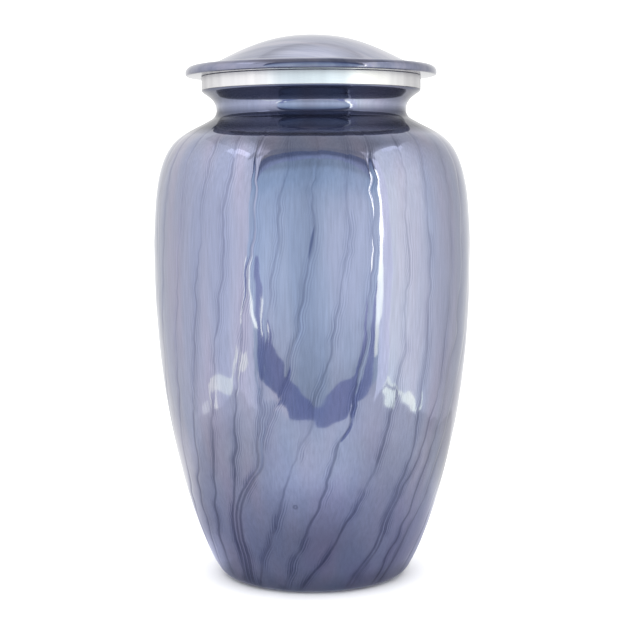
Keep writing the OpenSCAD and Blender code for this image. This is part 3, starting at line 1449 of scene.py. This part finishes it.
    def table_light(self, points: Array) -> Array:
        """Table top: shaded round the urn's foot, dimmer to the sides than towards the opening.

        Beside the urn it rises from the foot until it meets the walls' light. Ahead of it, in a
        wedge that fades out to both sides, it rises faster and is cooler.

        Args:
            points: places on it, n by 3.

        Returns:
            Light in each colour, n by 3.
        """
        x, y, _ = points.T
        out, in_front = np.hypot(x, y), y < 0
        by_foot = smooth(-0.03, -0.05, x) * smooth(-0.025, -0.01, y) * smooth(0.095, 0.065, out)
        most = self.wall_light * self.front_to_back(y) * (0.97 - 0.25 * smooth(0.05, 0.15, x))
        beside = np.minimum(0.26 + 0.28 * by_foot + 5.0 * out, most)
        ahead = smooth(0.8, 0.25, np.abs(x) / out) * in_front
        level = beside + ahead * (0.5 + 1.06 * smooth(0.074, 0.16, out) - beside)
        level = level * (1 - 0.12 * smooth(-0.15, -0.23, x) * in_front)
        level = level * (1 + 0.08 * smooth(0.0, 0.1, x) * in_front)
        level = level * (0.55 + 0.45 * smooth(0.048, 0.058, out))
        near, ahead = smooth(0.2, 0.05, out)[:, None], ahead[:, None]
        far_tint = 1 - ahead * [0.08, 0.0, -0.05]
        near_tint = [0.9, 0.93, 1.18] - ahead * [0.04, 0.0, -0.02]
        return level[:, None] * ((1 - near) * far_tint + near * near_tint)

    def roof_light(self, points: Array) -> Array:
        """Roof: dim in the middle of the front, where it has a gap, and bright across the back.

        Args:
            points: places on it, n by 3.

        Returns:
            Light in each colour, n by 3.
        """
        x, y, _ = points.T
        aside, ahead = np.abs(x - 0.04), smooth(0.1, -0.1, y)
        level = 1.0 + 0.7 * ahead * smooth(0.17, 0.28, aside) + 0.2 * smooth(-0.1, -0.25, x)
        level = level + 0.75 * np.exp(-((y - 0.155) / 0.05) ** 2) * smooth(0.22, 0.06, np.abs(x))
        level = level - 0.12 * smooth(0.18, 0.24, y)
        return (level - 0.4 * smooth(0.3, 0.18, aside) * smooth(0.1, -0.08, y))[:, None] * np.ones(3)

    def room_light(self, points: Array) -> Array:
        """Blue-grey room beyond the opening: darker in the middle, overhead and towards the floor.

        Args:
            points: places on it, n by 3.

        Returns:
            Light in each colour, n by 3.
        """
        x, _, z = points.T
        level = 1.88 - 0.34 * np.exp(-((x + 0.05) / 0.18) ** 2)
        for share, start, end in ((0.26, 0.15, 0.7), (0.3, 0.68, 0.84), (0.3, 0.05, -0.3)):
            level = level * (1 - share * smooth(start, end, z))
        overhead = smooth(0.3, 0.6, z)[:, None]
        return level[:, None] * ([0.89, 1.02, 1.07] - overhead * [0.1, 0.02, -0.05])

    # Shapes that aren't flat patches.

    def arch_z(self, across: Array) -> Array:
        """Height of the opening at a share of its half width: an arch between spring and lintel."""
        rise = (1 - np.abs(across) ** self.corner) ** (1 / self.corner)
        return self.spring + (self.lintel - self.spring) * rise

    def edge_x(self, side: Side, z: Array) -> Array:
        """Where the opening ends at a height: upright up to the spring, then round to the lintel."""
        rise = np.clip((z - self.spring) / (self.lintel - self.spring), 0, 1)
        return self.middle + side.value * self.half * (1 - rise ** self.corner) ** (1 / self.corner)

    def flap(self, side: Side, u: Array, v: Array) -> tuple:
        """Front wall from a side wall to the opening."""
        z, outer = self.roof * v, side.value * self.side
        return outer + (self.edge_x(side, z) - outer) * u, self.front, z

    def arch(self, u: Array, v: Array) -> tuple:
        """Dark hem under the lintel: it follows the opening's top and thins towards its two ends.

        Args:
            u: share of the way across.
            v: share of the way up.

        Returns:
            x, y and z.
        """
        across = np.sin(math.pi * (u - 0.5))
        top, over = self.arch_z(across), self.hem_overlap
        fallen = (self.lintel - top) / (self.lintel - self.spring)
        hang = self.hem * (1 - self.hem_thinning * fallen) + over
        return self.middle + self.half * across, self.front + 3 * MM, top + over - hang * (1 - v)

    def strip_right(self, u: Array, v: Array) -> tuple:
        """Bright strip: widest low down, with a second swelling at the top, and wandering to and fro.

        Args:
            u: share of the way across.
            v: share of the way up.

        Returns:
            x, y and z.
        """
        width = 0.35 + 0.65 * np.exp(-((v - 0.22) / 0.13) ** 2) + 0.45 * smooth(0.75, 0.9, v)
        start = self.opening_right - 0.024 + 0.026 * smooth(0.3, 0.5, v) - 0.016 * smooth(0.78, 0.84, v)
        return start + self.strip * width * u, self.front + 2 * MM, self.strip_foot + self.strip_h * v

    def strip_left(self, u: Array, v: Array) -> tuple:
        """Short bright strip at the left of the opening: it curves in and widens downwards."""
        start = self.opening_left - 0.016 + 0.022 * (1 - v) ** 1.5
        return start + (0.008 + 0.01 * (1 - v)) * u, self.front + MM, 0.09 + 0.065 * v

    def edging(self, u: Array, v: Array) -> tuple:
        """Edging of the table, seen low in the opening: higher towards its two ends."""
        height = 0.012 + 0.03 * smooth(0.48, 0.2, u) + 0.018 * smooth(0.5, 0.65, u)
        return self.opening_left + 2 * self.half * u, self.table_edge, height * v

    def edging_left(self, u: Array, v: Array) -> tuple:
        """Edging that climbs the left side, and spreads inwards low down."""
        width = 0.018 + 0.062 * (1 - v) ** 0.9 + 0.04 * smooth(0.48, 0.3, v)
        return self.opening_left - 0.015 + width * u, self.table_edge, 0.15 * v

    def edging_fold(self, u: Array, v: Array) -> tuple:
        """Edging folded over on to the table, deeper towards its right end."""
        depth = 0.009 * smooth(0.0, 0.3, u) + 0.008 * smooth(0.2, 0.45, u)
        return 0.155 * u - 0.03, self.table_edge + depth * v, MM

    def patches(self) -> tuple[Patch, ...]:
        """Flat patches: lintel, corners, folds, and the pale seams at the table, in ragged steps.

        Returns:
            The patches.
        """
        left, right, s, f = self.opening_left, self.opening_right, self.side, self.front
        top, h = self.lintel, self.roof
        dim, pale, bright = (2.2, 2.25, 2.05), (2.9, 2.95, 2.4), (3.6, 3.7, 2.8)
        return (
            Patch("strip_left_fold", Wall.EDGE, (left + 0.013, left + 0.022), 0.075, 0.12,
                  (3.6, 3.7, 3.0), off=2 * MM),
            Patch("lintel", Wall.FRONT, (-0.15, 0.2), top, h, (0.5, 0.52, 0.56)),
            Patch("lintel_sides", Wall.FRONT, (-s, s), top, h, 1.2, off=0.5 * MM),
            Patch("corner_left", Wall.LEFT, (-0.08, -0.2), h - 0.06, h, 3.0),
            Patch("corner_right", Wall.RIGHT, (-0.03, -0.13), h - 0.045, h, 2.4),
            Patch("seam_left_far", Wall.LEFT, (-0.028, -0.072), 0, 0.01, dim),
            Patch("seam_left_link", Wall.LEFT, (-0.083, -0.095), 0, 0.03, pale),
            Patch("seam_left", Wall.LEFT, (-0.095, -0.178), lambda u: 0.022 * (1 - u) ** 1.5,
                  lambda u: 0.037 - 0.016 * u, pale),
            Patch("seam_left_near", Wall.LEFT, (-0.178, f), lambda u: 0.004 + 0.02 * u,
                  lambda u: 0.022 + 0.03 * u, pale),
            Patch("seam_left_front", Wall.FRONT, (-s, -0.195), lambda u: 0.024 + 0.022 * u ** 3,
                  lambda u: 0.052 + 0.022 * u ** 3 - 0.01 * u, pale),
            Patch("seam_right_far", Wall.RIGHT, (-0.04, -0.155), 0.002,
                  lambda u: 0.005 + 0.003 * u + 0.009 * np.exp(-((u - 0.5) / 0.22) ** 4), bright,
                  steps=24),
            Patch("seam_right", Wall.RIGHT, (-0.155, f), 0, 0.006, bright),
            Patch("seam_right_front", Wall.FRONT, (0.245, s), 0, 0.003, bright),
            Patch("seam_right_table", Wall.TABLE, (0.234, 0.264), -0.205, -0.168, bright, off=0.3 * MM),
            Patch("edging_right", Wall.EDGE, (right + 0.02, right - 0.04), 0,
                  lambda u: 0.13 - 0.06 * u, self.edging_light, off=0, steps=2),
            Patch("apron_left", Wall.EDGE, (-0.19, -0.07), 0, lambda u: 0.022 * (1 - u) ** 0.4,
                  self.wall_light, steps=24),
        )

    def build(self) -> None:
        """Hang the walls and the roof, the flaps round the opening and what shows through it."""
        s, b, f, h, e = self.side, self.back, self.front, self.roof, self.table_edge
        self.sheet("tent_back", lambda u, v: (s * (2 * u - 1), b, h * v), self.back_light)
        self.sheet("tent_left", lambda u, v: (-s, f + (b - f) * u, h * v), self.side_light)
        self.sheet("tent_right", lambda u, v: (s, f + (b - f) * u, h * v), self.side_light)
        self.sheet("tent_roof", lambda u, v: (s * (2 * u - 1), f + (b - f) * v, h), self.roof_light)
        self.sheet("tent_table", lambda u, v: (s * (2 * u - 1), e + (b - e) * v, 0.1 * MM),
                   self.table_light, self.fine)
        for side in Side:
            name = f"tent_flap_{side.name.lower()}"
            self.sheet(name, partial(self.flap, side), self.flap_light, self.fine)
        self.sheet("strip_right", self.strip_right, self.strip_light, self.fine)
        self.sheet("strip_left", self.strip_left, (4.0, 4.1, 3.2))
        self.sheet("lintel_edge", self.arch, self.hem_light, self.fine)
        for shape in (self.edging, self.edging_left, self.edging_fold):
            self.sheet(shape.__name__, shape, self.edging_light)
        for patch in self.patches():
            self.sheet(patch.name, partial(self.on_wall, patch), patch.light, patch.steps)
        self.sheet("room", lambda u, v: (self.room_w * (u - 0.5), self.room_y,
                                         self.room_foot + self.room_h * v), self.room_light, self.fine)


@dataclass(frozen=True)
class Studio:
    """Pale floor, white surroundings, a soft lamp above and the camera, in metres and degrees."""

    camera_at: tuple[float, float, float] = (0.0, -0.7368, 0.1976)
    camera_pitch: float = 5.24
    camera_roll: float = 0.36
    lens: float = 85.8
    floor_size: float = 8.0
    floor_tint: str = "#f6f6f7"
    surround_light: float = 1.6
    lamp_at: tuple[float, float, float] = (0.0, -0.3, 1.4)
    lamp_tilt: float = -12.0
    lamp_size: float = 1.6
    lamp_watts: float = 14.0

    def build(self) -> None:
        """Set up everything that isn't the urn."""
        self.floor()
        self.surroundings()
        self.lamp()
        LightTent().build()
        self.camera()

    def floor(self) -> None:
        """Pale matt board that takes a faint contact shadow. The gloss sees the tent's table instead."""
        half = self.floor_size / 2
        corners = np.array([(-half, -half, 0), (half, -half, 0), (half, half, 0), (-half, half, 0)])
        floor = new_object("floor", corners, [[0, 1, 2, 3]])
        material, put = new_material("pale_matt_board")
        board = {"Base Color": linear(self.floor_tint), "Roughness": 0.9}
        put("OutputMaterial", put("BsdfPrincipled", named=board))
        floor.data.materials.append(material)
        floor.visible_glossy = False

    def surroundings(self) -> None:
        """Even white all round."""
        world = bpy.data.worlds.new("white_surroundings")
        world.use_nodes = True
        background = world.node_tree.nodes["Background"]
        background.inputs["Color"].default_value = (1, 1, 1, 1)
        background.inputs["Strength"].default_value = self.surround_light
        bpy.context.scene.world = world
        bpy.context.scene.view_settings.view_transform = "Standard"

    def lamp(self) -> None:
        """Large soft lamp overhead, which the gloss doesn't see."""
        lamp = bpy.data.lights.new("overhead_softbox", "AREA")
        lamp.shape, lamp.size, lamp.energy = "SQUARE", self.lamp_size, self.lamp_watts
        overhead = bpy.data.objects.new("overhead_softbox", lamp)
        overhead.location = self.lamp_at
        overhead.rotation_euler = Euler((math.radians(self.lamp_tilt), 0, 0))
        overhead.visible_glossy = False
        overhead.visible_camera = False
        bpy.context.scene.collection.objects.link(overhead)

    def camera(self) -> None:
        """Camera level with the shoulder, looking slightly down."""
        data = bpy.data.cameras.new("camera")
        data.lens = self.lens
        camera = bpy.data.objects.new("camera", data)
        camera.location = self.camera_at
        camera.rotation_euler = Euler((math.radians(90 - self.camera_pitch), 0, 0))
        camera.rotation_euler.rotate_axis("Z", math.radians(-self.camera_roll))
        bpy.context.scene.collection.objects.link(camera)
        bpy.context.scene.camera = camera


def main() -> None:
    """Build the urn's pieces in order, then the studio."""
    logging.basicConfig(level=logging.INFO, format="%(name)s: %(message)s")
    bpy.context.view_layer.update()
    for piece in (BodyShell(), RingShell(), LidShell()):
        made = piece.build()
        log.info("%s: %d faces, %s", made.name, len(made.data.polygons), made.active_material.name)
    Studio().build()


if __name__ == "__main__":
    main()
